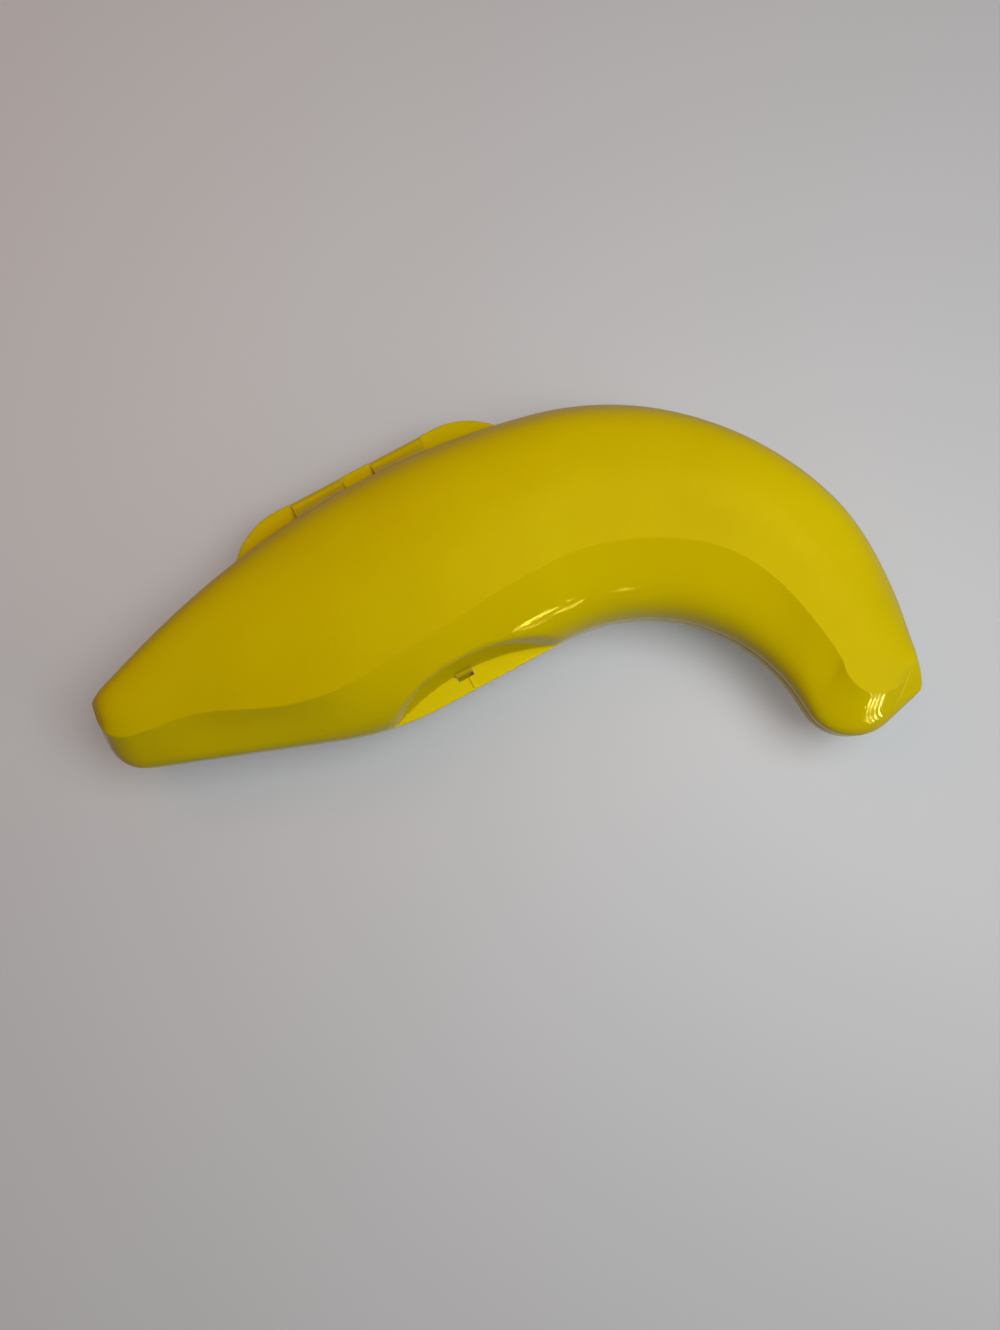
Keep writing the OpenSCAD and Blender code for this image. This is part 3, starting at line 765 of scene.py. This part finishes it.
def polypropylene(name):
    """Dyed polypropylene: grit grain and flow marks on Object coordinates. The grain attribute
    says where the mould was blasted; the other attribute says where the colour is painted paler,
    a stand-in for light that passes the thin plastic."""
    material = bpy.data.materials.new(name)
    material.use_nodes = True
    tree = material.node_tree
    shader = tree.nodes["Principled BSDF"]
    place = add(tree, "ShaderNodeTexCoord").outputs["Object"]
    grain = add(tree, "ShaderNodeAttribute", attribute_name="grain").outputs["Fac"]
    pale = add(tree, "ShaderNodeAttribute", attribute_name="pale").outputs["Fac"]
    grit = add(tree, "ShaderNodeTexNoise", {"Vector": place, "Scale": 1 / GRIT, "Detail": 2.0})
    flow = add(tree, "ShaderNodeTexNoise", {"Vector": place, "Scale": 1 / FLOW, "Detail": 4.0})
    ripple = add(tree, "ShaderNodeTexNoise", {"Vector": place, "Scale": 1 / RIPPLE, "Detail": 1.0})
    tone = add(tree, "ShaderNodeMapRange",
               {"Value": flow.outputs["Fac"], "From Min": 0.3, "From Max": 0.7})
    body = add(tree, "ShaderNodeMix",
               {"Factor": tone.outputs["Result"], "A": linear(DEEP), "B": linear(YELLOW)},
               data_type="RGBA")
    # Where the second attribute is set, the colour is painted paler, a stand-in for light through
    # the thin plastic.
    tint = add(tree, "ShaderNodeMix",
               {"Factor": pale, "A": body.outputs["Result"], "B": linear(PAINTED_LIGHT_YELLOW)},
               data_type="RGBA")
    rough = add(tree, "ShaderNodeMapRange", {"Value": grain, "To Min": POLISHED, "To Max": BLASTED})
    cloud = add(tree, "ShaderNodeMath",
                {0: flow.outputs["Fac"], 1: 0.03, 2: rough.outputs["Result"]},
                operation="MULTIPLY_ADD")
    sand = add(tree, "ShaderNodeMath", {0: grit.outputs["Fac"], 1: grain}, operation="MULTIPLY")
    blasted = add(tree, "ShaderNodeBump",
                  {"Height": sand.outputs[0], "Distance": GRIT_DEEP, "Strength": 1.0})
    waxy = add(tree, "ShaderNodeBump", {"Height": ripple.outputs["Fac"], "Distance": RIPPLE_DEEP,
                                        "Strength": 1.0, "Normal": blasted.outputs["Normal"]})
    tree.links.new(tint.outputs["Result"], shader.inputs["Base Color"])
    tree.links.new(cloud.outputs[0], shader.inputs["Roughness"])
    tree.links.new(waxy.outputs["Normal"], shader.inputs["Normal"])
    shader.inputs["IOR"].default_value = 1.49
    shader.inputs["Specular IOR Level"].default_value = 0.22
    shader.inputs["Specular Tint"].default_value = linear("#ffe048")
    return material


lid_finish = polypropylene("moulded_polypropylene_lid")
base_finish = polypropylene("moulded_polypropylene_base")
for pieces, finish in ((lid_pieces, lid_finish), (base_pieces, base_finish)):
    for piece in pieces:
        piece.data.materials.clear()
        piece.data.materials.append(finish)
print("finishes:", lid_finish.name, base_finish.name)

# %% [markdown]
# ## Floor
# The case lies on a plain pale table, a board with a matt laminate, which holds a
# soft shadow and hardly mirrors. More lamp light would make the table paler but
# wash out the yellow, so the table gives off a little light of its own, which only
# the camera and mirrored or transmitted rays see.

# %% Floor
FLOOR_HALF, FLOOR_GLOW, ROOM_GLOW = 3, 0.16, 0.35
corners = [(x * FLOOR_HALF, y * FLOOR_HALF, 0) for x, y in ((-1, -1), (1, -1), (1, 1), (-1, 1))]
floor_mesh = bpy.data.meshes.new("floor")
floor_mesh.from_pydata(corners, [], [(0, 1, 2, 3)])
floor = bpy.data.objects.new("floor", floor_mesh)
bpy.context.scene.collection.objects.link(floor)


def backdrop(tree, level):
    """A level that only camera, glossy and transmission rays see: the largest of the three
    flags, times the level."""
    path = add(tree, "ShaderNodeLightPath").outputs
    seen = path["Is Camera Ray"]
    for flag in ("Is Glossy Ray", "Is Transmission Ray"):
        seen = add(tree, "ShaderNodeMath", {0: seen, 1: path[flag]}, operation="MAXIMUM").outputs[0]
    return add(tree, "ShaderNodeMath", {0: seen, 1: level}, operation="MULTIPLY").outputs[0]


table = bpy.data.materials.new("pale_laminate")
table.use_nodes = True
top = table.node_tree.nodes["Principled BSDF"].inputs
top["Base Color"].default_value = linear("#a2a2a3")
top["Roughness"].default_value = 0.55
top["Emission Color"].default_value = linear("#f4f4f6")
table.node_tree.links.new(backdrop(table.node_tree, FLOOR_GLOW), top["Emission Strength"])
floor_mesh.materials.append(table)
print("floor: %d m wide, %s" % (2 * FLOOR_HALF, table.name))

# %% [markdown]
# ## Room
# The room itself is dim and a little warm, and brighter overhead than at its walls.
# The pale wall that the camera sees behind the table lights nothing.

# %% Room
world = bpy.data.worlds.new("room")
bpy.context.scene.world = world
world.use_nodes = True
sky = world.node_tree
ray = add(sky, "ShaderNodeTexCoord").outputs["Generated"]
way = add(sky, "ShaderNodeSeparateXYZ", {"Vector": ray})
dome = add(sky, "ShaderNodeMapRange", {"Value": way.outputs["Z"], "From Min": 0.0, "From Max": 0.9,
                                       "To Min": 0.03, "To Max": 0.08})
glow = add(sky, "ShaderNodeMath", {0: dome.outputs["Result"], 1: backdrop(sky, ROOM_GLOW)},
           operation="MAXIMUM")
sky.nodes["Background"].inputs["Color"].default_value = linear("#fff6f0")
sky.links.new(glow.outputs[0], sky.nodes["Background"].inputs["Strength"])
print("room: %d nodes" % len(sky.nodes))

# %% [markdown]
# ## Lamps
# Soft ceiling light is strongest on the right and warmer on the left. Three square
# area lamps give it: large enough to blur the shadows, close enough to fall off
# along the case.

# %% Ceiling lamps


def softbox(name, place, aim, size, power, colour="#ffffff", roll=0.0):
    """An area lamp at a place in metres that looks at a point, rolled by some degrees."""
    lamp = bpy.data.lights.new(name, "AREA")
    lamp.shape, lamp.size, lamp.size_y = "RECTANGLE", *size
    lamp.energy, lamp.color = power, linear(colour)[:3]
    light = bpy.data.objects.new(name, lamp)
    light.location = place
    turn = (Vector(aim) - Vector(place)).to_track_quat("-Z", "Y")
    light.rotation_euler = (turn @ Quaternion((0, 0, 1), math.radians(roll))).to_euler()
    bpy.context.scene.collection.objects.link(light)
    return light


ceiling = [
    softbox("key", (0.19, -0.02, 0.47), (0.05, 0, 0), (0.3, 0.3), 1.9, "#f6fdff"),
    softbox("side", (0.55, -0.25, 0.4), (0.08, 0, 0), (0.3, 0.3), 0.65, "#f2f6ff"),
    softbox("warm", (-0.3, 0.25, 0.55), (-0.02, 0.02, 0), (0.4, 0.4), 0.95, "#ffbc94")]
print("ceiling lamps:", [light.name for light in ceiling])

# %% [markdown]
# ## Streaks on the polished band
# A polished moulding shows a lamp as a streak, and where the streak falls tells the
# eye how the band curves. Far, narrow strips draw the streaks in the inner curve,
# and four upright slats near the tip draw the fine lines there. Each has a small
# spread, so that it reaches mainly its own part of the case, and none of them adds
# to the diffuse light on the plastic.

# %% Strips and slats
STREAK_AT, STRIP_SPREAD = (0.02, -0.01, 0.04), 4
TIP_AT, SLAT_SPREAD, SLAT_ROLL = np.array([0.1095, -0.039, 0.034]), 20, 24
SLAT_SIZE, SLAT_POWER = (0.008, 0.15), 0.005


def beyond(place, azimuth, elevation, reach=0.4):
    """The point at a reach from a place, towards an azimuth and an elevation in degrees."""
    flat = math.cos(math.radians(elevation)) * polar(azimuth)
    return place + reach * np.array([*flat, math.sin(math.radians(elevation))])


strips = [softbox("strip", place, STREAK_AT, size, power) for place, size, power in (
    ((0.944, -1.303, 1.25), (0.1, 0.014), 0.0006),
    ((0.914, -1.261, 1.314), (0.1, 0.014), 0.0006),
    ((0.558, -1.576, 1.162), (0.18, 0.016), 0.0013))]
slats = [softbox("slat", beyond(TIP_AT, -64.5 + 6.3 * k, 30.5 - 2.3 * k), TIP_AT,
                 SLAT_SIZE, SLAT_POWER, roll=SLAT_ROLL) for k in range(4)]
for lights, spread in ((strips, STRIP_SPREAD), (slats, SLAT_SPREAD)):
    for light in lights:
        light.data.spread = math.radians(spread)
        light.visible_diffuse = False
print("strips:", len(strips), "slats:", len(slats))

# %% [markdown]
# ## Camera
# The camera looks almost straight down from about a third of a metre, so its wide
# view shows the inner wall of the curved end.

# %% Camera
camera_data = bpy.data.cameras.new("camera")
camera_data.lens, camera_data.sensor_width = 27.07, 36
camera = bpy.data.objects.new("camera", camera_data)
camera.location = (-0.001629, -0.057483, 0.331909)
camera.rotation_euler = (math.radians(6), 0, 0)
bpy.context.scene.collection.objects.link(camera)
bpy.context.scene.camera = camera
bpy.context.scene.view_settings.view_transform = "Standard"
print("camera: %.1f mm lens, %.2f m above the table" % (camera_data.lens, camera.location.z))
